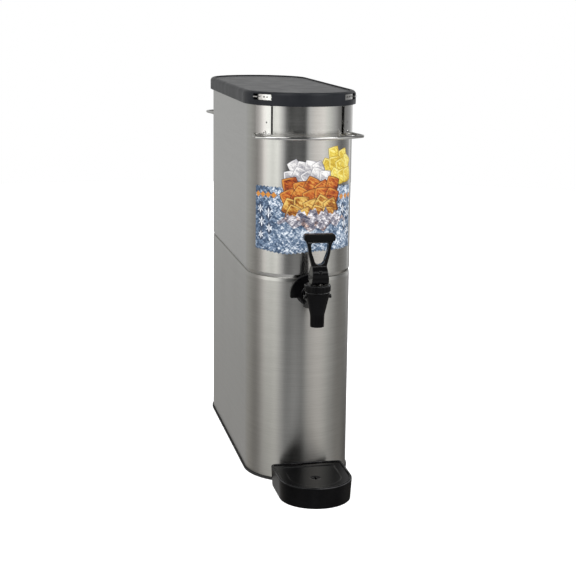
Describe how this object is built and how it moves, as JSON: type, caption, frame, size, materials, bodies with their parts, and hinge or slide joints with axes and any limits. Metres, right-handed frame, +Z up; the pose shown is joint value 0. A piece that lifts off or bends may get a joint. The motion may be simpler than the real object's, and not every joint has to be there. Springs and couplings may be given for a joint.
{
  "type": "iced tea dispenser",
  "caption": "Narrow stainless drink dispenser with rounded ends, lift-off lid, wire carrying handles, lever tap and lift-out drip tray.",
  "frame": {"origin": "on the counter, under the middle of the whole object's box", "axes": "+Z up, -Y towards the tap and drip tray, +X to the right seen from the tap"},
  "size_m": [0.155, 0.5663, 0.5377],
  "materials": {
    "brushed_steel": "brushed, satin",
    "wire_steel": "polished wire",
    "clip_steel": "bright",
    "pin_steel": "bright",
    "lid_plastic": "satin",
    "tap_plastic": "gloss",
    "stem_plastic": "satin",
    "tray_plastic": "satin",
    "trim_rubber": "matt",
    "washer_rubber": "matt",
    "silicone": "matt"
  },
  "bodies": {
    "dispenser": {"tank_shell": "brushed_steel", "tank_floor": "brushed_steel", "base_skirt": "brushed_steel", "base_trim": "trim_rubber", "tap_body": "tap_plastic", "tap_gasket": "washer_rubber", "tank_washer": "washer_rubber", "shank_nut": "tap_plastic", "bonnet": "tap_plastic", "front_handle": "wire_steel", "rear_handle": "wire_steel", "strap_front_right": "brushed_steel", "strap_front_left": "brushed_steel", "strap_rear_right": "brushed_steel", "strap_rear_left": "brushed_steel"},
    "lid": {"lid": "lid_plastic", "clip_front_right": "clip_steel", "clip_front_left": "clip_steel", "clip_rear_right": "clip_steel", "clip_rear_left": "clip_steel"},
    "valve": {"tap_stem": "stem_plastic", "seat_cup": "silicone"},
    "lever": {"tap_lever": "tap_plastic", "lever_pin": "pin_steel"},
    "tray": {"drip_tray": "tray_plastic"},
    "insert": {"tray_insert": "tray_plastic"}
  },
  "joints": [
    {"name": "lid_lift", "type": "slide", "parent": "dispenser", "child": "lid", "axis": [0, 0, 1], "range_m": [0, 0.1]},
    {"name": "valve_lift", "type": "slide", "parent": "dispenser", "child": "valve", "axis": [0, 0, 1], "range_m": [0, 0.0042]},
    {"name": "tap_pull", "type": "hinge", "parent": "valve", "child": "lever", "pos_m": [0, -0.23125, 0.304], "axis": [1, 0, 0], "range_deg": [0, 35], "stiffness_Nm_per_rad": 0.4},
    {"name": "tray_slide", "type": "slide", "parent": "dispenser", "child": "tray", "axis": [0, -1, 0], "range_m": [0, 0.06]},
    {"name": "insert_lift", "type": "slide", "parent": "tray", "child": "insert", "axis": [0, 0, 1], "range_m": [0, 0.04]}
  ],
  "couplings": [
    {"joint": "valve_lift", "follows": "tap_pull", "m_per_rad": 0.0066}
  ]
}
